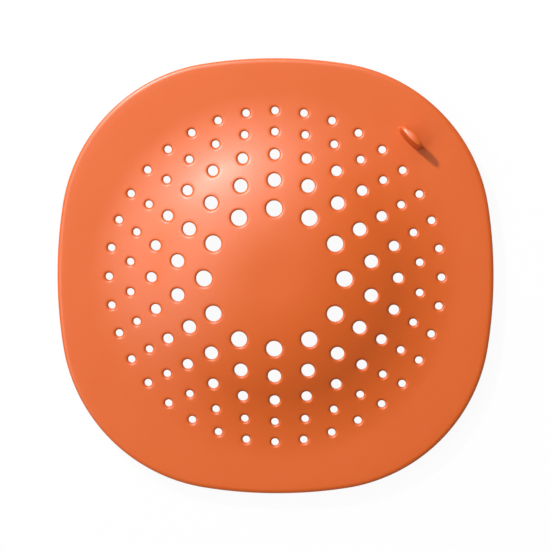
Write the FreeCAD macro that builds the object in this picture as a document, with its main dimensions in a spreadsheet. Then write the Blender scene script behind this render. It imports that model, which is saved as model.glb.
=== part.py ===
"""Sink strainer mat: a domed rounded-square silicone mat with rings of drain holes,
a pull fin on its rim and four push-in suction cups under its corners.

Millimetres, +Z up. The origin is on the sink's surface, under the middle of the mat,
so the lips of the suction cups lie in the plane z = 0.
"""
import FreeCAD, Part
import math
import os
import Sketcher

doc = FreeCAD.newDocument("sink_strainer")

# Driving dimensions
sheet = doc.addObject("Spreadsheet::Sheet", "Sizes")
SIZES = {
    # Outline: four slightly bowed sides joined by rounder corners, both in proportion to the width
    "mat_width": 145.0,
    "side_radius_ratio": 1.054,
    "corner_radius_ratio": 0.389,
    "wall": 2.4,
    "edge_round_top": 1.0,
    "edge_round_under": 0.4,
    # Dome: flat crown, then a convex and a concave arc that meet where it is steepest
    "rim_width": 10.8,
    "foot_span": 22.4,
    "crown_radius": 6.7,
    "dome_height": 10.0,
    # Drain holes: rings from the foot of the dome inwards, with an even web between them
    "outer_ring_margin": 6.5,
    "ring_web": 4.45,
    "hole_ring_1": 5.3,
    "hole_ring_2": 4.4,
    "hole_ring_3": 3.4,
    "hole_ring_4": 2.5,
    "hole_ring_5": 2.5,
    "first_ring_count": 12,
    "ring_count_step": 6,
    # Pull fin: a tongue on the rim, near one corner, highest off its middle and leaning outwards
    "tab_length": 9.5,
    "tab_height": 8.4,
    "tab_thickness": 2.4,
    "tab_top_radius": 11.5,
    "tab_peak_offset": 1.6,
    "tab_corner_round": 2.2,
    "tab_edge_round": 1.1,
    "tab_edge_margin": 13.5,
    "tab_bearing": 46.0,
    "tab_facing_bearing": 44.2,
    "tab_lean_angle": 12.5,
    "tab_clearance": 0.05,
    # Suction cups and the socket pads that hold them
    "cup_radius": 7.5,
    "cup_height": 3.2,
    "cup_hollow": 1.8,
    "cup_edge_margin": 4.0,
    "lip_width": 0.9,
    "lip_height": 0.4,
    "neck_radius": 3.5,
    "neck_height": 0.6,
    "plug_radius": 2.0,
    "plug_height": 1.6,
    "plug_clearance": 0.05,
    "plug_end_clearance": 0.1,
    "pad_radius": 4.5,
    "pad_height": 0.8,
}
for row, (alias, size) in enumerate(SIZES.items(), start=1):
    sheet.set(f"A{row}", alias)
    sheet.set(f"B{row}", str(size))
    sheet.setAlias(f"B{row}", alias)
doc.recompute()

RING_COUNT = 5
CUP_COUNT = 4
SIDE_COUNT = 4
FULL_TURN = 360.0


def size_of(formula):
    """Give the present value of a formula on the sheet's sizes."""
    result = sheet.evalExpression(formula)
    return float(getattr(result, "Value", result))


def sized(*names):
    """Write the sum of some of the sheet's sizes as a formula."""
    return " + ".join(f"Sizes.{name}" for name in names)


# Heights and places that follow from the driving dimensions
PAD_BOTTOM = sized("cup_height")
RIM_BOTTOM = sized("cup_height", "pad_height")
RIM_TOP = sized("cup_height", "pad_height", "wall")
DOME_TOP = sized("cup_height", "pad_height", "wall", "dome_height")
DOME_RADIUS = "(Sizes.mat_width / 2 - Sizes.rim_width)"
SEAM_RADIUS = f"({DOME_RADIUS} + Sizes.rim_width / 4)"
STEEPEST_RADIUS = f"({DOME_RADIUS} - Sizes.foot_span)"
CROWN_SPAN = f"({STEEPEST_RADIUS} - Sizes.crown_radius)"
STEEPEST_SLOPE = f"2 * atan(Sizes.dome_height / ({DOME_RADIUS} - Sizes.crown_radius))"
CROWN_ARC = f"{CROWN_SPAN} / sin({STEEPEST_SLOPE})"
FOOT_ARC = f"Sizes.foot_span / sin({STEEPEST_SLOPE})"
STEEPEST_HEIGHT = f"{RIM_TOP} + Sizes.dome_height * Sizes.foot_span / ({CROWN_SPAN} + Sizes.foot_span)"
SIDE_RADIUS = "(Sizes.mat_width * Sizes.side_radius_ratio)"
CORNER_RADIUS = "(Sizes.mat_width * Sizes.corner_radius_ratio)"
SIDE_CENTRE = f"({SIDE_RADIUS} - Sizes.mat_width / 2)"
ARC_STEP = f"({SIDE_RADIUS} - {CORNER_RADIUS})"
CORNER_CENTRE = f"(sqrt(2 * {ARC_STEP} ^ 2 - {SIDE_CENTRE} ^ 2) - {SIDE_CENTRE}) / 2"
CORNER_REACH = f"({CORNER_CENTRE}) * sqrt(2) + {CORNER_RADIUS}"
CUP_DISTANCE = f"({CORNER_REACH} - Sizes.cup_edge_margin - Sizes.cup_radius)"
TAB_DISTANCE = f"({CORNER_REACH} - Sizes.tab_edge_margin)"


def ring_radius(ring):
    """Formula for the pitch radius of a ring of holes, ring 1 being the innermost."""
    formula = f"{DOME_RADIUS} - Sizes.outer_ring_margin"
    for inner in range(ring, RING_COUNT):
        formula += f" - Sizes.hole_ring_{inner} / 2 - Sizes.ring_web - Sizes.hole_ring_{inner + 1} / 2"
    return formula


def new_body(label):
    """Add an empty body for one sub-part."""
    body = doc.addObject("PartDesign::Body", label)
    body.Label = label
    return body


def new_sketch(body, name, plane, height=None):
    """Add a sketch on one of the body's own origin planes, lifted to a height if one is given."""
    sketch = body.newObject("Sketcher::SketchObject", name)
    support = next(item for item in body.Origin.OriginFeatures if item.Role == plane)
    sketch.AttachmentSupport = (support, [""])
    sketch.MapMode = "FlatFace"
    if height:
        sketch.setExpression("AttachmentOffset.Base.z", height)
    return sketch


def constrain(sketch, name, formula, kind, *where):
    """Add a dimension to a sketch and bind it to a formula."""
    index = sketch.addConstraint(Sketcher.Constraint(kind, *where, size_of(formula)))
    sketch.renameConstraint(index, name)
    sketch.setExpression(f"Constraints.{name}", formula)


def place_point(sketch, name, geometry, end, along, up):
    """Hold a point of a sketch at two formulas, or on an axis where a formula is None."""
    if along is None:
        sketch.addConstraint(Sketcher.Constraint("PointOnObject", geometry, end, -2))
    else:
        constrain(sketch, f"{name}_along", along, "DistanceX", -1, 1, geometry, end)
    if up is None:
        sketch.addConstraint(Sketcher.Constraint("PointOnObject", geometry, end, -1))
    else:
        constrain(sketch, f"{name}_up", up, "DistanceY", -1, 1, geometry, end)


def draw_profile(sketch, corners):
    """Draw a closed profile through named corners.

    Each corner is (name, along, up, bulge). The bulge is None for a straight run to the
    next corner, or (radius formula, +1 for an arc that turns left and -1 for one that turns right).
    """
    spots = []
    for name, along, up, bulge in corners:
        spots.append(FreeCAD.Vector(size_of(along) if along else 0, size_of(up) if up else 0, 0))
    for index, (name, along, up, bulge) in enumerate(corners):
        start = spots[index]
        finish = spots[(index + 1) % len(spots)]
        if bulge is None:
            sketch.addGeometry(Part.LineSegment(start, finish))
            continue
        radius = size_of(bulge[0])
        chord = finish - start
        sag = radius - math.sqrt(radius ** 2 - chord.Length ** 2 / 4)
        side = FreeCAD.Vector(chord.y, -chord.x, 0).normalize() * bulge[1]
        sketch.addGeometry(Part.Arc(start, (start + finish) / 2 + side * sag, finish))
    # A sketch stores every arc anticlockwise, so one that turns right runs from its end to its start
    starts = [2 if corner[3] and corner[3][1] < 0 else 1 for corner in corners]
    for index, (name, along, up, bulge) in enumerate(corners):
        following = (index + 1) % len(corners)
        sketch.addConstraint(
            Sketcher.Constraint("Coincident", index, 3 - starts[index], following, starts[following]))
        place_point(sketch, name, index, starts[index], along, up)
        if bulge:
            constrain(sketch, f"{name}_radius", bulge[0], "Radius", index)


def draw_circle(sketch, name, along, up, radius):
    """Draw a circle with its centre held at two formulas, or on an axis where one is None."""
    centre = FreeCAD.Vector(size_of(along) if along else 0, size_of(up) if up else 0, 0)
    index = sketch.addGeometry(Part.Circle(centre, FreeCAD.Vector(0, 0, 1), size_of(radius)))
    place_point(sketch, name, index, 3, along, up)
    constrain(sketch, f"{name}_radius", radius, "Radius", index)


def draw_outline(sketch):
    """Draw the rounded square: side arcs about points beyond the middle, tangent corner arcs between."""
    upright = FreeCAD.Vector(0, 0, 1)
    side_radius = size_of(SIDE_RADIUS)
    corner_radius = size_of(CORNER_RADIUS)
    back = size_of(SIDE_CENTRE)
    corner = size_of(CORNER_CENTRE)
    half_side = math.atan2(corner, corner + back)
    quarter = 2 * math.pi / SIDE_COUNT
    for turn in range(SIDE_COUNT):
        spin = turn * quarter
        centre = FreeCAD.Vector(-back * math.cos(spin), -back * math.sin(spin), 0)
        side = Part.Circle(centre, upright, side_radius)
        sketch.addGeometry(Part.ArcOfCircle(side, spin - half_side, spin + half_side))
        diagonal = spin + quarter / 2
        reach = corner * math.sqrt(2)
        centre = FreeCAD.Vector(reach * math.cos(diagonal), reach * math.sin(diagonal), 0)
        round_corner = Part.Circle(centre, upright, corner_radius)
        sketch.addGeometry(Part.ArcOfCircle(round_corner, spin + half_side, spin + quarter - half_side))
    arc_count = 2 * SIDE_COUNT
    for arc in range(arc_count):
        sketch.addConstraint(Sketcher.Constraint("Tangent", arc, 2, (arc + 1) % arc_count, 1))
    for side_arc in range(0, arc_count, 2):
        constrain(sketch, f"side_{side_arc}_radius", SIDE_RADIUS, "Radius", side_arc)
    for corner_arc in range(1, arc_count, 2):
        constrain(sketch, f"corner_{corner_arc}_radius", CORNER_RADIUS, "Radius", corner_arc)
    place_point(sketch, "right_centre", 0, 3, f"-{SIDE_CENTRE}", None)
    place_point(sketch, "upper_centre", 2, 3, None, f"-{SIDE_CENTRE}")
    place_point(sketch, "left_centre", 4, 3, SIDE_CENTRE, None)
    place_point(sketch, "lower_centre", 6, 3, None, SIDE_CENTRE)


def add_pad(body, name, sketch, length, both_sides=False):
    """Pad a sketch upwards by a formula, or half of it to each side."""
    pad = body.newObject("PartDesign::Pad", name)
    pad.Profile = sketch
    pad.setExpression("Length", length)
    if both_sides:
        pad.SideType = "Symmetric"
    return pad


def add_revolution(body, name, sketch):
    """Turn a sketch once round its upright axis."""
    turned = body.newObject("PartDesign::Revolution", name)
    turned.Profile = sketch
    turned.ReferenceAxis = (sketch, ["V_Axis"])
    turned.Angle = FULL_TURN
    return turned


def add_polar_pattern(body, name, feature, count):
    """Repeat a feature evenly round the body's upright axis."""
    pattern = body.newObject("PartDesign::PolarPattern", name)
    pattern.Originals = [feature]
    upright = next(item for item in body.Origin.OriginFeatures if item.Role == "Z_Axis")
    pattern.Axis = (upright, [""])
    pattern.Angle = FULL_TURN
    pattern.setExpression("Occurrences", count)
    body.Tip = pattern
    return pattern


def round_edges(body, name, base, radius, chosen):
    """Fillet the edges of a feature that a test picks out."""
    doc.recompute()
    edges = [f"Edge{index}" for index, edge in enumerate(base.Shape.Edges, start=1) if chosen(edge)]
    fillet = body.newObject("PartDesign::Fillet", name)
    fillet.Base = (base, edges)
    fillet.setExpression("Radius", radius)
    body.Tip = fillet
    return fillet


def cut_upwards(body, name, sketch, depth=None):
    """Cut a sketch upwards to a depth, or right through, and make sure that it removed material."""
    doc.recompute()
    before = body.Shape.Volume
    pocket = body.newObject("PartDesign::Pocket", name)
    pocket.Profile = sketch
    pocket.Reversed = True
    if depth:
        pocket.setExpression("Length", depth)
    else:
        pocket.Type = "ThroughAll"
    body.Tip = pocket
    doc.recompute()
    if body.Shape.Volume >= before:
        raise RuntimeError(f"{name} cut nothing")
    return pocket


# Strainer mat: rim plate, turned dome, socket pads and rings of drain holes
mat = new_body("strainer_mat")

rim_sketch = new_sketch(mat, "rim_outline", "XY_Plane", RIM_BOTTOM)
draw_outline(rim_sketch)
draw_circle(rim_sketch, "dome_opening", None, None, SEAM_RADIUS)
rim = add_pad(mat, "rim_plate", rim_sketch, "Sizes.wall")


def on_outer_edge(height):
    """Make a test for the edges of the rim's outline at a height."""
    level = size_of(height)
    reach = size_of(SEAM_RADIUS)

    def test(edge):
        middle = edge.valueAt((edge.FirstParameter + edge.LastParameter) / 2)
        flat = all(math.isclose(vertex.Z, level, abs_tol=1e-6) for vertex in edge.Vertexes)
        outside = math.hypot(middle.x, middle.y) > reach + 1e-6
        return flat and outside and math.isclose(middle.z, level, abs_tol=1e-6)

    return test


rim = round_edges(mat, "rim_top_round", rim, "Sizes.edge_round_top", on_outer_edge(RIM_TOP))
rim = round_edges(mat, "rim_under_round", rim, "Sizes.edge_round_under", on_outer_edge(RIM_BOTTOM))

dome_sketch = new_sketch(mat, "dome_section", "XZ_Plane")
INNER_STEEPEST = f"{STEEPEST_RADIUS} - Sizes.wall * sin({STEEPEST_SLOPE})"
INNER_STEEPEST_HEIGHT = f"{STEEPEST_HEIGHT} - Sizes.wall * cos({STEEPEST_SLOPE})"
draw_profile(dome_sketch, [
    ("crown_middle", None, DOME_TOP, None),
    ("crown_edge", "Sizes.crown_radius", DOME_TOP, (CROWN_ARC, -1)),
    ("steepest", STEEPEST_RADIUS, STEEPEST_HEIGHT, (FOOT_ARC, 1)),
    ("foot_top", DOME_RADIUS, RIM_TOP, None),
    ("seam_top", SEAM_RADIUS, RIM_TOP, None),
    ("seam_under", SEAM_RADIUS, RIM_BOTTOM, None),
    ("foot_under", DOME_RADIUS, RIM_BOTTOM, (f"{FOOT_ARC} + Sizes.wall", -1)),
    ("steepest_under", INNER_STEEPEST, INNER_STEEPEST_HEIGHT, (f"{CROWN_ARC} - Sizes.wall", 1)),
    ("crown_edge_under", "Sizes.crown_radius", f"{DOME_TOP} - Sizes.wall", None),
    ("crown_middle_under", None, f"{DOME_TOP} - Sizes.wall", None),
])
add_revolution(mat, "dome", dome_sketch)

pad_sketch = new_sketch(mat, "socket_pad_outline", "XY_Plane", PAD_BOTTOM)
CUP_OFFSET = f"{CUP_DISTANCE} / sqrt(2)"
draw_circle(pad_sketch, "pad", CUP_OFFSET, CUP_OFFSET, "Sizes.pad_radius")
socket_pad = add_pad(mat, "socket_pad", pad_sketch, "Sizes.pad_height + Sizes.wall / 2")
add_polar_pattern(mat, "socket_pads", socket_pad, str(CUP_COUNT))

socket_sketch = new_sketch(mat, "socket_outline", "XY_Plane", PAD_BOTTOM)
draw_circle(socket_sketch, "socket", CUP_OFFSET, CUP_OFFSET, sized("plug_radius", "plug_clearance"))
socket = cut_upwards(mat, "socket", socket_sketch, sized("plug_height", "plug_end_clearance"))
add_polar_pattern(mat, "sockets", socket, str(CUP_COUNT))

for ring in range(1, RING_COUNT + 1):
    hole_sketch = new_sketch(mat, f"hole_{ring}_outline", "XY_Plane")
    draw_circle(hole_sketch, "hole", None, ring_radius(ring), f"Sizes.hole_ring_{ring} / 2")
    hole = cut_upwards(mat, f"hole_{ring}", hole_sketch)
    count = f"Sizes.first_ring_count + Sizes.ring_count_step * {ring - 1}"
    add_polar_pattern(mat, f"hole_ring_{ring}", hole, count)

# Lift tab: a tongue on a round bead, which is the root that it leans and bends about
tab = new_body("lift_tab")
BEAD_RADIUS = "Sizes.tab_thickness / 2"
HALF_TAB = "Sizes.tab_length / 2"
TOP_CENTRE = "Sizes.tab_height - Sizes.tab_top_radius"
HIGH_SHOULDER = f"{TOP_CENTRE} + sqrt(Sizes.tab_top_radius ^ 2 - ({HALF_TAB} - Sizes.tab_peak_offset) ^ 2)"
LOW_SHOULDER = f"{TOP_CENTRE} + sqrt(Sizes.tab_top_radius ^ 2 - ({HALF_TAB} + Sizes.tab_peak_offset) ^ 2)"
fin_sketch = new_sketch(tab, "tongue_outline", "XZ_Plane")
lean = size_of("Sizes.tab_lean_angle")
fin_sketch.AttachmentOffset.Rotation = FreeCAD.Rotation(FreeCAD.Vector(1, 0, 0), lean)
fin_sketch.setExpression("AttachmentOffset.Rotation.Angle", "Sizes.tab_lean_angle")
fin_sketch.setExpression("AttachmentOffset.Base.y", f"{BEAD_RADIUS} * (1 - cos(Sizes.tab_lean_angle))")
fin_sketch.setExpression("AttachmentOffset.Base.z", f"-{BEAD_RADIUS} * sin(Sizes.tab_lean_angle)")
draw_profile(fin_sketch, [
    ("left_foot", f"-{HALF_TAB}", BEAD_RADIUS, None),
    ("right_foot", HALF_TAB, BEAD_RADIUS, None),
    ("right_shoulder", HALF_TAB, LOW_SHOULDER, ("Sizes.tab_top_radius", 1)),
    ("left_shoulder", f"-{HALF_TAB}", HIGH_SHOULDER, None),
])
fin = add_pad(tab, "fin", fin_sketch, "Sizes.tab_thickness", both_sides=True)


def in_fin(point):
    """Give a point in the axes of the fin's sketch: along the fin, up it and out of its face."""
    return fin_sketch.Placement.inverse().multVec(point)


def on_shoulder(edge):
    """Pick the two short edges where the ends of the fin meet its top."""
    middle = in_fin(edge.valueAt((edge.FirstParameter + edge.LastParameter) / 2))
    level = size_of(HIGH_SHOULDER if middle.x < 0 else LOW_SHOULDER)
    at_shoulder = all(math.isclose(in_fin(vertex.Point).y, level, abs_tol=1e-6) for vertex in edge.Vertexes)
    return at_shoulder and isinstance(edge.Curve, Part.Line)


def on_fin_outline(edge):
    """Pick the edges round both faces of the fin, apart from those at its foot."""
    half = size_of(BEAD_RADIUS)
    middle = in_fin(edge.valueAt((edge.FirstParameter + edge.LastParameter) / 2))
    on_face = all(math.isclose(abs(in_fin(vertex.Point).z), half, abs_tol=1e-6) for vertex in edge.Vertexes)
    return on_face and math.isclose(abs(middle.z), half, abs_tol=1e-6) and middle.y > half + 1e-6


fin = round_edges(tab, "shoulder_round", fin, "Sizes.tab_corner_round", on_shoulder)
round_edges(tab, "fin_round", fin, "Sizes.tab_edge_round", on_fin_outline)

bead_sketch = new_sketch(tab, "root_bead_section", "YZ_Plane")
draw_circle(bead_sketch, "bead", None, BEAD_RADIUS, BEAD_RADIUS)
add_pad(tab, "root_bead", bead_sketch, "Sizes.tab_length - Sizes.tab_thickness", both_sides=True)
tab.setExpression("Placement.Base.x", f"{TAB_DISTANCE} * cos(Sizes.tab_bearing)")
tab.setExpression("Placement.Base.y", f"{TAB_DISTANCE} * sin(Sizes.tab_bearing)")
tab.setExpression("Placement.Base.z", f"{RIM_TOP} + Sizes.tab_clearance")
tab.Placement.Rotation = FreeCAD.Rotation(FreeCAD.Vector(0, 0, 1), 0)
tab.setExpression("Placement.Rotation.Angle", "Sizes.tab_facing_bearing + 90")

# Suction cups: turned cups under the corners, each with a plug that fills a socket of the mat
LIP_INNER = "(Sizes.cup_radius - Sizes.lip_width)"
HOLLOW_ARC = f"({LIP_INNER} ^ 2 + Sizes.cup_hollow ^ 2) / (2 * Sizes.cup_hollow)"
NECK_FOOT = "Sizes.cup_height - Sizes.neck_height"
PLUG_TOP = sized("cup_height", "plug_height")
cups = []
for number in range(1, CUP_COUNT + 1):
    cup = new_body(f"suction_cup_{number}")
    cup_sketch = new_sketch(cup, "cup_section", "XZ_Plane")
    draw_profile(cup_sketch, [
        ("hollow_top", None, "Sizes.cup_hollow", (HOLLOW_ARC, -1)),
        ("lip_inner", LIP_INNER, None, None),
        ("lip_outer", "Sizes.cup_radius", None, None),
        ("lip_top", "Sizes.cup_radius", "Sizes.lip_height", None),
        ("neck_foot", "Sizes.neck_radius", NECK_FOOT, None),
        ("neck_top", "Sizes.neck_radius", "Sizes.cup_height", None),
        ("plug_foot", "Sizes.plug_radius", "Sizes.cup_height", None),
        ("plug_edge", "Sizes.plug_radius", PLUG_TOP, None),
        ("plug_top", None, PLUG_TOP, None),
    ])
    add_revolution(cup, "turned_cup", cup_sketch)
    bearing = FULL_TURN * (number - 0.5) / CUP_COUNT
    cup.setExpression("Placement.Base.x", f"{CUP_DISTANCE} * cos({bearing})")
    cup.setExpression("Placement.Base.y", f"{CUP_DISTANCE} * sin({bearing})")
    cups.append(cup)

doc.recompute()

# Every object has to be sound before anything is written
for item in doc.Objects:
    if "Invalid" in item.State or "Error" in item.State:
        raise RuntimeError(f"{item.Name} did not compute: {item.State}")

os.makedirs("parts", exist_ok=True)
for body in [mat, tab] + cups:
    if body.Shape.isNull() or not body.Shape.isValid() or len(body.Shape.Solids) != 1:
        raise RuntimeError(f"{body.Label} is not one sound solid")
    body.Shape.exportStep(f"parts/{body.Label}.step")
    print(f"{body.Label}: {body.Shape.Volume:.1f} mm3")
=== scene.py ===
"""Looks of a sink strainer mat: an orange silicone sheet with a domed middle, rings of drain
holes, a pull fin on its rim and four suction cups. Sizes are in millimetres up to the meshes."""

import bmesh
import bpy
import mathutils
import numpy as np
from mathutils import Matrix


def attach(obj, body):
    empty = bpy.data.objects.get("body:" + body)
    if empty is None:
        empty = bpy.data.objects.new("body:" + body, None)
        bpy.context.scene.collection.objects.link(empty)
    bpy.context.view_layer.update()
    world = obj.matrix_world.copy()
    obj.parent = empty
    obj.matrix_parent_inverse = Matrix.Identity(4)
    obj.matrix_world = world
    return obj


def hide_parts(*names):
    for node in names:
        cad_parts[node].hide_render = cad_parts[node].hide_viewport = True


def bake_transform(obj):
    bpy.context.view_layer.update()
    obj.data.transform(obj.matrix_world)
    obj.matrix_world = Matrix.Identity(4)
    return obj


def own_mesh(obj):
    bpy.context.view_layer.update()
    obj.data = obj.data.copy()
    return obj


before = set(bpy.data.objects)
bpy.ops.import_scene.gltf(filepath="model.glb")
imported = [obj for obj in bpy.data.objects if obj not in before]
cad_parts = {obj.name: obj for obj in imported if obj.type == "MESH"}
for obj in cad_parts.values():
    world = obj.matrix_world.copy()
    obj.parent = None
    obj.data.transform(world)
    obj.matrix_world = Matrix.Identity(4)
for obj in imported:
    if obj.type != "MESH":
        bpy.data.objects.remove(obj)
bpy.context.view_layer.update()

# Strainer mat: one moulding of satin silicone, 2.4 mm thick, a rounded square whose middle
# swells into a low dome. Five rings of drain holes go straight down through the dome, and
# four socket pads for the suction cups stand under the corners of the rim.
MILLIMETRE = 0.001
MAT_WIDTH = 145.0
SIDE_RADIUS = 1.054 * MAT_WIDTH
CORNER_RADIUS = 0.389 * MAT_WIDTH
WALL = 2.4
RIM_TOP = 6.4
RIM_UNDER = RIM_TOP - WALL
EDGE_ROUND_WIDTH = 1.6
EDGE_ROUND_HEIGHT = 0.9
EDGE_ROUND_UNDER = 0.4
CROWN_RADIUS = 6.7
STEEPEST_RADIUS = 39.3
DOME_RADIUS = 61.7
DOME_HEIGHT = 10.0
HOLE_COUNTS = np.array([12, 18, 24, 30, 36])
HOLE_RADII = np.array([2.65, 2.2, 1.7, 1.25, 1.25])
OUTER_RING_RADIUS = 55.2
RING_WEB = 4.45
HOLE_ROUND_TOP = 0.8
HOLE_ROUND_UNDER = 0.25
PAD_OFFSET = 46.685
PAD_RADIUS = 4.5
PAD_UNDER = 3.2
PAD_ROUND = 0.25
SOCKET_RADIUS = 2.05
CROWN_ROWS = 9
PAD_COLUMNS = 48
WELD_DISTANCE = 0.002
SLIVER_LENGTH = 0.0001
QUARTER = np.pi / 2


def sheet_height(radius, depth):
    """Height of the sheet at a distance from its middle, at a depth below its upper face.

    A flat crown runs into a convex arc, then a concave arc of the same slope, then the flat rim.
    Faces at other depths are parallel: the arcs keep their centres and change their radii.
    """
    slope = 2 * np.arctan2(DOME_HEIGHT, DOME_RADIUS - CROWN_RADIUS)
    convex_arc = (STEEPEST_RADIUS - CROWN_RADIUS) / np.sin(slope)
    concave_arc = (DOME_RADIUS - STEEPEST_RADIUS) / np.sin(slope)
    past_crown = np.clip(radius - CROWN_RADIUS, 0, None)
    inside_rim = np.clip(DOME_RADIUS - radius, 0, None)
    convex = RIM_TOP + DOME_HEIGHT - convex_arc + np.sqrt((convex_arc - depth) ** 2 - past_crown ** 2)
    concave = RIM_TOP + concave_arc - np.sqrt((concave_arc + depth) ** 2 - inside_rim ** 2)
    return np.where(radius < STEEPEST_RADIUS - depth * np.sin(slope), convex, concave)


def outline_radius(angle, inset):
    """Distance from the middle to the mat's outline moved inwards by an inset.

    A side is an arc about a point beyond the middle, and a corner an arc about a point on the
    diagonal, tangent to both sides. The nearest quarter turn tells which side an angle faces.
    """
    back = SIDE_RADIUS - MAT_WIDTH / 2
    corner = (np.sqrt(2 * (SIDE_RADIUS - CORNER_RADIUS) ** 2 - back ** 2) - back) / 2
    half_side = np.arctan2(corner, corner + back)
    joint_x = (SIDE_RADIUS - inset) * np.cos(half_side) - back
    joint_y = (SIDE_RADIUS - inset) * np.sin(half_side)
    from_side = np.abs((angle + QUARTER / 2) % QUARTER - QUARTER / 2)
    from_diagonal = QUARTER / 2 - from_side
    reach = corner * np.sqrt(2)
    side_chord = np.sqrt((SIDE_RADIUS - inset) ** 2 - (back * np.sin(from_side)) ** 2)
    corner_chord = np.sqrt((CORNER_RADIUS - inset) ** 2 - (reach * np.sin(from_diagonal)) ** 2)
    on_side = side_chord - back * np.cos(from_side)
    on_corner = corner_chord + reach * np.cos(from_diagonal)
    return np.where(from_side < np.arctan2(joint_y, joint_x), on_side, on_corner)


def perforated_ring(ring, inner, outer, inner_steps, outer_steps, side_steps):
    """One ring of drain holes, as a stack of loops for each hole: (holes, loops, points, 3).

    The first loop is the edge of the hole's share of the sheet, a sector between two radii. The
    loops close in to the hole on the upper face, turn down its rounded edge and wall, and open
    out again on the lower face. Points of all loops lie on rays from the hole's own centre.
    """
    count = HOLE_COUNTS[ring]
    hole = HOLE_RADII[ring]
    pitch = RING_RADII[ring]
    half = np.pi / count
    inner_edge = np.linspace(-half, half, inner_steps, endpoint=False)
    outer_edge = np.linspace(half, -half, outer_steps, endpoint=False)
    outwards = np.linspace(inner, outer, side_steps, endpoint=False)
    inwards = np.linspace(outer, inner, side_steps, endpoint=False)
    angle = np.concatenate([inner_edge, np.full(side_steps, half), outer_edge, np.full(side_steps, -half)])
    reach = np.concatenate([np.full(inner_steps, inner), outwards, np.full(outer_steps, outer), inwards])
    edge = reach * np.exp(1j * angle) - pitch
    spread = np.abs(edge)
    ray = edge / spread
    closing = np.linspace(1, 0, 5)[:, None]
    bend = np.linspace(0, QUARTER, 5)[1:, None]
    open_top = hole + HOLE_ROUND_TOP + closing * (spread - hole - HOLE_ROUND_TOP)
    turn_top = hole + HOLE_ROUND_TOP * (1 - np.sin(bend)) + 0 * spread
    turn_under = hole + HOLE_ROUND_UNDER * (1 - np.sin(bend[::-1])) + 0 * spread
    open_under = hole + HOLE_ROUND_UNDER + closing[::-1] * (spread - hole - HOLE_ROUND_UNDER)
    distance = np.concatenate([open_top, turn_top, turn_under, open_under])
    dip = np.concatenate([0 * closing, HOLE_ROUND_TOP * (1 - np.cos(bend)),
                          -HOLE_ROUND_UNDER * (1 - np.cos(bend[::-1])), 0 * closing])
    depth = np.concatenate([0 * closing, 0 * bend, 0 * bend + WALL, 0 * closing + WALL])
    place = pitch + distance * ray
    height = sheet_height(np.abs(place), depth) - dip
    turns = np.exp(1j * (QUARTER + 2 * np.pi * np.arange(count) / count))[:, None, None]
    spot = place * turns
    return np.stack([spot.real, spot.imag, height + 0 * spot.real], axis=-1)


def turned(radius, height, steps):
    """A profile of radii and heights carried once round the upright axis: (profile, steps, 3)."""
    angle = 2 * np.pi * np.arange(steps) / steps
    return np.stack([np.outer(radius, np.cos(angle)), np.outer(radius, np.sin(angle)),
                     np.outer(height, np.ones(steps))], axis=-1)


def rim_band(steps):
    """The rim, from the outermost holes over the rounded edge and back underneath: (rows, steps, 3).

    Rows are circles on the foot of the dome, then even steps from a circle to the outline, then
    a quarter of an oval for the upper edge and a small quarter round for the lower edge.
    """
    angle = 2 * np.pi * np.arange(steps) / steps
    foot = np.linspace(BAND_RADII[-1], DOME_RADIUS, 5)[:, None]
    share = np.linspace(0, 1, 6)[1:-1, None]
    bend = np.linspace(0, QUARTER, 8)[:, None]
    small_bend = np.linspace(0, QUARTER, 4)[:, None]
    flat_top = DOME_RADIUS + share * (outline_radius(angle, EDGE_ROUND_WIDTH) - DOME_RADIUS)
    round_top = outline_radius(angle, EDGE_ROUND_WIDTH * (1 - np.sin(bend)))
    round_under = outline_radius(angle, EDGE_ROUND_UNDER * (1 - np.cos(small_bend)))
    flat_under = DOME_RADIUS + share[::-1] * (outline_radius(angle, EDGE_ROUND_UNDER) - DOME_RADIUS)
    level = 0 * angle
    radius = np.concatenate([foot + level, flat_top, round_top,
                             round_under, flat_under, foot[::-1] + level])
    height = np.concatenate([sheet_height(foot, 0) + level, RIM_TOP + 0 * share + level,
                             RIM_TOP - EDGE_ROUND_HEIGHT * (1 - np.cos(bend)) + level,
                             RIM_UNDER + EDGE_ROUND_UNDER * (1 - np.sin(small_bend)) + level,
                             RIM_UNDER + 0 * share + level, sheet_height(foot[::-1], WALL) + level])
    return np.stack([radius * np.cos(angle), radius * np.sin(angle), height], axis=-1)


def grid_faces(stacks, rows, columns):
    """Corners of the four-sided faces of stacked grids whose last column meets the first."""
    counts = np.arange(stacks), np.arange(rows - 1), np.arange(columns)
    stack, row, column = np.meshgrid(*counts, indexing="ij")
    following = (column + 1) % columns
    base = (stack * rows + row) * columns
    corners = [base + column, base + following, base + columns + following, base + columns + column]
    return np.stack(corners, axis=-1).reshape(-1, 4)


def build_piece(name, grids):
    """Join grids of points, each (..., rows, columns, 3), into one closed and smooth mesh object."""
    points = []
    faces = []
    start = 0
    for grid in grids:
        rows, columns = grid.shape[-3:-1]
        stacks = grid.size // (rows * columns * 3)
        points.append(grid.reshape(-1, 3))
        faces.append(grid_faces(stacks, rows, columns) + start)
        start += len(points[-1])
    mesh = bpy.data.meshes.new(name)
    mesh.from_pydata(np.concatenate(points) * MILLIMETRE, [], np.concatenate(faces).tolist())
    shell = bmesh.new()
    shell.from_mesh(mesh)
    bmesh.ops.remove_doubles(shell, verts=shell.verts, dist=WELD_DISTANCE * MILLIMETRE)
    bmesh.ops.dissolve_degenerate(shell, edges=shell.edges, dist=SLIVER_LENGTH * MILLIMETRE)
    bmesh.ops.recalc_face_normals(shell, faces=shell.faces)
    shell.to_mesh(mesh)
    shell.free()
    mesh.polygons.foreach_set("use_smooth", np.ones(len(mesh.polygons), dtype=bool))
    piece = bpy.data.objects.new(name, mesh)
    bpy.context.scene.collection.objects.link(piece)
    return piece


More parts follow.
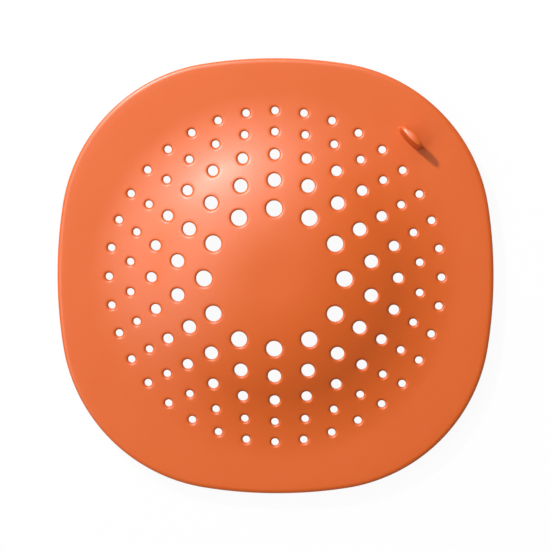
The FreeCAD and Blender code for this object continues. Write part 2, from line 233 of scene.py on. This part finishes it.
ring_steps = HOLE_RADII[:-1] + RING_WEB + HOLE_RADII[1:]
RING_RADII = OUTER_RING_RADIUS - np.append(np.cumsum(ring_steps[::-1])[::-1], 0)
outermost = OUTER_RING_RADIUS + HOLE_RADII[-1] + RING_WEB / 2
BAND_RADII = np.append(RING_RADII - HOLE_RADII - RING_WEB / 2, outermost)
# Points along a hole's inner edge, outer edge and sides: neighbouring rings share their points
EDGE_STEPS = [(12, 12, 5), (8, 8, 5), (6, 10, 4), (8, 12, 4), (10, 10, 4)]
mat_grids = [perforated_ring(ring, BAND_RADII[ring], BAND_RADII[ring + 1], *steps)
             for ring, steps in enumerate(EDGE_STEPS)]
crown_radii = np.linspace(0, BAND_RADII[0], CROWN_ROWS)
crown_columns = HOLE_COUNTS[0] * EDGE_STEPS[0][0]
for depth in (0, WALL):
    mat_grids.append(turned(crown_radii, sheet_height(crown_radii, depth), crown_columns))
mat_grids.append(rim_band(HOLE_COUNTS[-1] * EDGE_STEPS[-1][1]))
pad_bend = np.linspace(0, QUARTER, 5)
round_radius = PAD_RADIUS - PAD_ROUND * (1 - np.sin(pad_bend))
round_height = PAD_UNDER + PAD_ROUND * (1 - np.cos(pad_bend))
pad_radius = np.concatenate([[SOCKET_RADIUS, SOCKET_RADIUS], round_radius, [PAD_RADIUS, SOCKET_RADIUS]])
pad_height = np.concatenate([[RIM_UNDER, PAD_UNDER], round_height, [RIM_UNDER, RIM_UNDER]])
corner_signs = np.array([[1, 1, 0], [-1, 1, 0], [-1, -1, 0], [1, -1, 0]])
pads = turned(pad_radius, pad_height, PAD_COLUMNS) + PAD_OFFSET * corner_signs[:, None, None, :]
mat_grids.append(pads)
mat = build_piece("mat_sheet", mat_grids)


class Shade:
    """A socket in a material's node tree: arithmetic on it adds Math nodes to the tree."""

    def __init__(self, tree, socket=None):
        self.tree = tree
        self.socket = socket

    def node(self, kind, settings, inputs, output=0):
        """Add a node, set it up, then give its inputs their values or links, and return one output."""
        made = self.tree.nodes.new(kind)
        for name, setting in settings.items():
            setattr(made, name, setting)
        for name, given in inputs.items():
            if isinstance(given, Shade):
                self.tree.links.new(given.socket, made.inputs[name])
            else:
                made.inputs[name].default_value = given
        return Shade(self.tree, made.outputs[output] if made.outputs else None)

    def math(self, operation, first, second):
        """One Math node on two values or sockets."""
        return self.node("ShaderNodeMath", {"operation": operation}, {0: first, 1: second})

    def __add__(self, other):
        return self.math("ADD", self, other)

    def __radd__(self, other):
        return self.math("ADD", other, self)

    def __mul__(self, other):
        return self.math("MULTIPLY", self, other)

    def __rmul__(self, other):
        return self.math("MULTIPLY", other, self)


def new_material(name):
    """An empty node material, with its tree wrapped for shader maths."""
    material = bpy.data.materials.new(name)
    material.use_nodes = True
    material.node_tree.nodes.clear()
    return material, Shade(material.node_tree)


SILICONE_IOR = 1.7
SILICONE_ROUGHNESS = 0.355
GRAIN_STRENGTH = 0.12
GRAIN_DISTANCE = 0.06 * MILLIMETRE


def mottle(spot, scale, detail, roughness):
    """Noise over a piece's own coordinates: features per metre, octaves and share of the finer ones."""
    return spot.node("ShaderNodeTexNoise", {}, {
        "Vector": spot, "Scale": scale, "Detail": detail, "Roughness": roughness})


def satin_silicone(name, colour, pale_colour):
    """Moulded silicone: even colour with a faint cloudiness, a soft sheen and a fine moulded grain."""
    material, tree = new_material(name)
    spot = tree.node("ShaderNodeTexCoord", {}, {}, "Object")
    cloud = mottle(spot, 45.0, 3.0, 0.55)
    film = mottle(spot, 260.0, 4.0, 0.6)
    grain = mottle(spot, 2600.0, 2.0, 0.5)
    paleness = cloud * 0.6 + film * 0.4
    tint = tree.node("ShaderNodeMix", {"data_type": "RGBA"},
                     {0: paleness, 6: colour, 7: pale_colour}, 2)
    roughness = SILICONE_ROUGHNESS + film * 0.08 + cloud * 0.04
    relief = grain + film * 2.0
    normal = tree.node("ShaderNodeBump", {}, {
        "Height": relief, "Strength": GRAIN_STRENGTH, "Distance": GRAIN_DISTANCE})
    surface = tree.node("ShaderNodeBsdfPrincipled", {}, {
        "Base Color": tint, "Roughness": roughness, "Normal": normal, "IOR": SILICONE_IOR})
    tree.node("ShaderNodeOutputMaterial", {}, {"Surface": surface})
    return material


def set_material(piece, material):
    """Give a piece one material and no other."""
    piece.data.materials.clear()
    piece.data.materials.append(material)


SILICONE_ORANGE = (0.69, 0.11, 0.0075, 1.0)
SILICONE_ORANGE_PALE = (0.721, 0.121, 0.01125, 1.0)
mat_silicone = satin_silicone("mat_silicone", SILICONE_ORANGE, SILICONE_ORANGE_PALE)
set_material(mat, mat_silicone)
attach(mat, "mat")
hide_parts("strainer_mat")

# Pull fin: a leaf-shaped tongue of the same silicone near one corner of the rim, moulded on with a
# small fillet. It leans a little outwards, and its arched top is highest off its middle.
FIN_DISTANCE = 64.022
FIN_BEARING = np.radians(46.0)
FIN_FACING = np.radians(44.2)
FIN_LEAN = np.radians(12.5)
FIN_LENGTH = 9.5
FIN_HEIGHT = 8.45
FIN_THICKNESS = 2.4
FIN_TOP_RADIUS = 11.5
FIN_PEAK = -1.6
FIN_CORNER_ROUND = 2.2
FIN_EDGE_ROUND = 0.7
FIN_FILLET = 0.25
FIN_ROOT = 1.25
FIN_FOOT_DEPTH = 0.3
FIN_FOOT_TAPER = 0.9
FIN_LEAF_LENGTH = 1.01 * FIN_LENGTH
FIN_FLAT_INSET = 0.1
FIN_ROWS = 26
FIN_COLUMNS = 72
TINY = 0.01
FIN_TOP_CENTRE = FIN_HEIGHT - FIN_TOP_RADIUS
FIN_CORNER_X = FIN_LENGTH / 2 - FIN_CORNER_ROUND


def fin_corner(side):
    """Height of a corner arc's centre on one side, and the lean of the line to it from the top arc's.

    A corner's arc touches the fin's end and, from inside, the top's arc, so the two centres are
    as far apart as the two radii differ. The side is 1 or -1 along the fin.
    """
    outward = FIN_CORNER_X - side * FIN_PEAK
    rise = np.sqrt((FIN_TOP_RADIUS - FIN_CORNER_ROUND) ** 2 - outward ** 2)
    return FIN_TOP_CENTRE + rise, np.arctan2(rise, outward)


def fin_end(height, side):
    """How far the fin reaches to one side at a height: straight end, then corner arc, then top arc."""
    corner_height, lean = fin_corner(side)
    above = np.clip(height - corner_height, 0, FIN_CORNER_ROUND)
    on_corner = FIN_CORNER_X + np.sqrt(FIN_CORNER_ROUND ** 2 - above ** 2)
    half_chord = np.sqrt(np.clip(FIN_TOP_RADIUS ** 2 - (height - FIN_TOP_CENTRE) ** 2, 0, None))
    past_corner = height > corner_height + FIN_CORNER_ROUND * np.sin(lean)
    return np.where(past_corner, side * FIN_PEAK + half_chord, on_corner)


def fin_half_thickness(across, height):
    """Half the fin's thickness at a point of its front view, from the point's distance to the outline.

    The outline is an inner shape grown by the corner radius, so that distance is the corner radius
    less the distance to the inner shape. Over the edge radius the thickness follows a quarter circle,
    and along the fin it follows an ellipse, so that the fin is a leaf in plan.
    """
    corner_height, lean = fin_corner(np.where(across > 0, 1, -1))
    past_side = np.abs(across) - FIN_CORNER_X
    from_top_centre = np.hypot(across - FIN_PEAK, height - FIN_TOP_CENTRE)
    past_top = from_top_centre - (FIN_TOP_RADIUS - FIN_CORNER_ROUND)
    bearing = np.arctan2(height - corner_height, past_side)
    past_corner = np.hypot(past_side, height - corner_height)
    in_corner = (bearing > 0) & (bearing < lean)
    inset = FIN_CORNER_ROUND - np.where(in_corner, past_corner, np.maximum(past_side, past_top))
    short = FIN_EDGE_ROUND - np.clip(inset, 0, FIN_EDGE_ROUND)
    flat = (FIN_THICKNESS / 2 - FIN_EDGE_ROUND) * np.clip(inset / FIN_FLAT_INSET, 0, 1)
    leaf = np.sqrt(1 - (2 * across / FIN_LEAF_LENGTH) ** 2)
    return leaf * (flat + np.sqrt(FIN_EDGE_ROUND ** 2 - short ** 2))


def fin_skin(rows, columns):
    """The fin's skin as level loops that close at the top, in the fin's own axes: (rows, columns, 3).

    Along a loop the length follows a cosine, and the rows crowd towards the top in the same way,
    so that the rounded edges get most of the points. The lowest rows flare out as a fillet, and from
    there the loops turn about the fin's root until they have its full lean.
    """
    turn = 2 * np.pi * (np.arange(columns) + 0.5) / columns
    foot = FIN_FILLET * (1 - np.cos(np.linspace(0, QUARTER, 7)))
    rise = foot[-1] + (FIN_HEIGHT - foot[-1]) * np.sin(np.linspace(0, QUARTER, rows))
    height = np.concatenate([[-FIN_FOOT_DEPTH, -FIN_FOOT_DEPTH], foot[:-1], rise])[:, None]
    right, left = fin_end(height, 1), fin_end(height, -1)
    across = (right - left) / 2 + (right + left) / 2 * np.cos(turn)
    thick = np.sign(np.sin(turn)) * fin_half_thickness(across, np.maximum(height, 0))
    short = np.clip(FIN_FILLET - np.maximum(height, 0), 0, None)
    flare = FIN_FILLET - np.sqrt(FIN_FILLET ** 2 - short ** 2)
    past_end = np.sign(across) * np.clip(np.abs(across) - (FIN_LENGTH - FIN_THICKNESS) / 2, 0, None)
    from_middle = np.maximum(np.hypot(past_end, thick), TINY)
    across = across + flare * past_end / from_middle
    thick = thick + flare * thick / from_middle
    across[0] = FIN_FOOT_TAPER * across[0]
    thick[0] = 0
    lean = FIN_LEAN * np.clip(height / FIN_ROOT, 0, 1)
    above = height - FIN_ROOT
    outward = thick * np.cos(lean) + above * np.sin(lean)
    level = FIN_ROOT + above * np.cos(lean) - thick * np.sin(lean)
    return np.stack([across, outward, level], axis=-1)


def stand_fin(skin):
    """Turn the fin's own axes so that it faces the corner, and set it on the rim."""
    facing = np.array([np.cos(FIN_FACING), np.sin(FIN_FACING), 0])
    sideways = np.array([-np.sin(FIN_FACING), np.cos(FIN_FACING), 0])
    axes = np.stack([sideways, facing, np.array([0, 0, 1])])
    foot = [FIN_DISTANCE * np.cos(FIN_BEARING), FIN_DISTANCE * np.sin(FIN_BEARING), RIM_TOP]
    return skin @ axes + foot


fin = build_piece("pull_fin", [stand_fin(fin_skin(FIN_ROWS, FIN_COLUMNS))])
set_material(fin, mat_silicone)
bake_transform(fin)
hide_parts("lift_tab")

# Suction cups: four small cups of the same silicone under the corners. Each has a plug that is
# pushed into its socket pad, a short neck, and a thin skirt.
CUP_RADIUS = 7.5
CUP_HEIGHT = PAD_UNDER
LIP_WIDTH = 0.9
LIP_HEIGHT = 0.4
NECK_RADIUS = 3.5
NECK_FOOT = 2.6
PLUG_RADIUS = 2.0
PLUG_TOP = 3.9
CUP_HOLLOW = 1.8
CUP_ROUNDS = [0.2, 0.05, 0.12, 0.25, 0.12, 0.12]
CUP_COLUMNS = 64


def rounded_path(corners, rounds, steps):
    """A path whose corners are cut by parabolas, each from and to a given distance off its corner."""
    corners = np.asarray(corners, dtype=float)
    rounds = np.asarray(rounds, dtype=float)[:, None]
    runs = np.diff(corners, axis=0)
    runs /= np.linalg.norm(runs, axis=1, keepdims=True)
    start = corners[1:-1] - rounds * runs[:-1]
    end = corners[1:-1] + rounds * runs[1:]
    share = np.linspace(0, 1, steps)[None, :, None]
    bends = ((1 - share) ** 2 * start[:, None] + 2 * share * (1 - share) * corners[1:-1, None]
             + share ** 2 * end[:, None])
    return np.concatenate([corners[:1], bends.reshape(-1, 2), corners[-1:]])


def cup_skin(columns):
    """A cup's skin, turned about its axis: plug, neck, skirt and lip, then the hollow's arc inside."""
    lip_inner = CUP_RADIUS - LIP_WIDTH
    outside = rounded_path(
        [(0, PLUG_TOP), (PLUG_RADIUS, PLUG_TOP), (PLUG_RADIUS, CUP_HEIGHT), (NECK_RADIUS, CUP_HEIGHT),
         (NECK_RADIUS, NECK_FOOT), (CUP_RADIUS, LIP_HEIGHT), (CUP_RADIUS, 0), (lip_inner, 0)],
        CUP_ROUNDS, 5)
    hollow_arc = (lip_inner ** 2 + CUP_HOLLOW ** 2) / (2 * CUP_HOLLOW)
    hollow_radius = np.linspace(lip_inner, 0, 12)
    hollow_height = CUP_HOLLOW - hollow_arc + np.sqrt(hollow_arc ** 2 - hollow_radius ** 2)
    radius = np.append(outside[:, 0], hollow_radius[1:])
    height = np.append(outside[:, 1], hollow_height[1:])
    return turned(radius, height, columns)


cup_silicone = satin_silicone("cup_silicone", SILICONE_ORANGE, SILICONE_ORANGE_PALE)
for number, signs in enumerate(corner_signs, start=1):
    cup = build_piece(f"cup_skirt_{number}", [cup_skin(CUP_COLUMNS) + PAD_OFFSET * signs])
    set_material(cup, cup_silicone)
    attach(cup, f"cup_{number}")
    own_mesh(cup)
    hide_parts(f"suction_cup_{number}")

# Floor: a wide sheet of pale paper under the mat. To the camera and in reflections it is almost
# white, and it still takes a faint shadow. From below it is clear, so that the underside can be seen.
FLOOR_HALF = 6.0
FLOOR_SHINE = 0.95
FLOOR_GREY = (0.82, 0.82, 0.82, 1.0)
WHITE = (1.0, 1.0, 1.0, 1.0)
floor_mesh = bpy.data.meshes.new("floor")
floor_mesh.from_pydata([(-FLOOR_HALF, -FLOOR_HALF, 0), (FLOOR_HALF, -FLOOR_HALF, 0),
                        (FLOOR_HALF, FLOOR_HALF, 0), (-FLOOR_HALF, FLOOR_HALF, 0)], [], [(0, 1, 2, 3)])
floor = bpy.data.objects.new("floor", floor_mesh)
bpy.context.scene.collection.objects.link(floor)
floor_paper, floor_tree = new_material("floor_paper")
path = floor_tree.node("ShaderNodeLightPath", {}, {}, "Is Camera Ray")
rays = path.socket.node.outputs
mirrored = Shade(floor_tree.tree, rays["Is Glossy Ray"])
through = Shade(floor_tree.tree, rays["Is Transmission Ray"])
seen = path + mirrored + through
paper = floor_tree.node("ShaderNodeBsdfDiffuse", {}, {"Color": FLOOR_GREY})
white = floor_tree.node("ShaderNodeEmission", {}, {"Color": WHITE, "Strength": 1.0})
upper_side = floor_tree.node("ShaderNodeMixShader", {}, {0: FLOOR_SHINE * seen, 1: paper, 2: white})
from_below = floor_tree.node("ShaderNodeNewGeometry", {}, {}, "Backfacing")
clear = floor_tree.node("ShaderNodeBsdfTransparent", {}, {})
floor_look = floor_tree.node("ShaderNodeMixShader", {}, {0: from_below, 1: upper_side, 2: clear})
floor_tree.node("ShaderNodeOutputMaterial", {}, {"Surface": floor_look})
floor_mesh.materials.append(floor_paper)

# Light: a small softbox from the upper left casts the fin's crisp shadow, and a long panel above
# it gives the soft fill and the sheen on the dome. The surround is white, even and dim.
SURROUND_LEVEL = 0.1
view_target = np.array([0.00014, 0.00043, 0.0055])


def aimed_matrix(place, upward):
    """Placement for a camera or lamp at a place that looks at the mat: columns right, up and back."""
    back = (place - view_target) / np.linalg.norm(place - view_target)
    right = np.cross(upward, back)
    right /= np.linalg.norm(right)
    placed = np.eye(4)
    placed[:3, :] = np.stack([right, np.cross(back, right), back, place], axis=1)
    return mathutils.Matrix(placed)


def add_softbox(name, bearing, elevation, distance, spread, watts):
    """An oval lamp at a bearing and an elevation in degrees, turned to face the mat.

    The spread gives the half angles, across and upright, that the lamp fills as seen from the mat.
    """
    lamp_data = bpy.data.lights.new(name, "AREA")
    lamp_data.shape = "ELLIPSE"
    lamp_data.size, lamp_data.size_y = 2 * distance * np.tan(np.radians(spread))
    lamp_data.energy = watts
    lamp = bpy.data.objects.new(name, lamp_data)
    bpy.context.scene.collection.objects.link(lamp)
    across, up = np.radians(bearing), np.radians(elevation)
    away = np.array([np.cos(up) * np.cos(across), np.cos(up) * np.sin(across), np.sin(up)])
    lamp.matrix_world = aimed_matrix(view_target + distance * away, np.array([0.0, 0.0, 1.0]))


add_softbox("key_softbox", bearing=125, elevation=39.5, distance=1.2, spread=(2.4, 2.4), watts=12.6)
add_softbox("strip_panel", bearing=144, elevation=61, distance=1.4, spread=(54, 14), watts=18.3)
world = bpy.data.worlds.new("surround")
bpy.context.scene.world = world
world.use_nodes = True
surround = world.node_tree.nodes["Background"]
surround.inputs["Color"].default_value = WHITE
surround.inputs["Strength"].default_value = SURROUND_LEVEL

# Camera: a long lens almost straight above the mat, leaning a little towards the far edge and the
# right. Its frame is square, and its width follows from the scale at the mat.
FRAME_PIXELS = 551
PIXELS_PER_MILLIMETRE = 3.01
CAMERA_DISTANCE = 1.2
SENSOR_WIDTH = 36.0
CAMERA_LEAN_FAR = np.radians(4.5)
CAMERA_LEAN_RIGHT = np.radians(2.0)
camera_data = bpy.data.cameras.new("camera")
camera_data.sensor_width = SENSOR_WIDTH
frame_width = FRAME_PIXELS / PIXELS_PER_MILLIMETRE * MILLIMETRE
camera_data.lens = SENSOR_WIDTH * CAMERA_DISTANCE / frame_width
camera = bpy.data.objects.new("camera", camera_data)
bpy.context.scene.collection.objects.link(camera)
away = np.array([np.sin(CAMERA_LEAN_RIGHT), np.sin(CAMERA_LEAN_FAR), 1.0])
away /= np.linalg.norm(away)
camera.matrix_world = aimed_matrix(view_target + CAMERA_DISTANCE * away, np.array([0.0, 1.0, 0.0]))
bpy.context.scene.camera = camera
bpy.context.scene.view_settings.view_transform = "Standard"
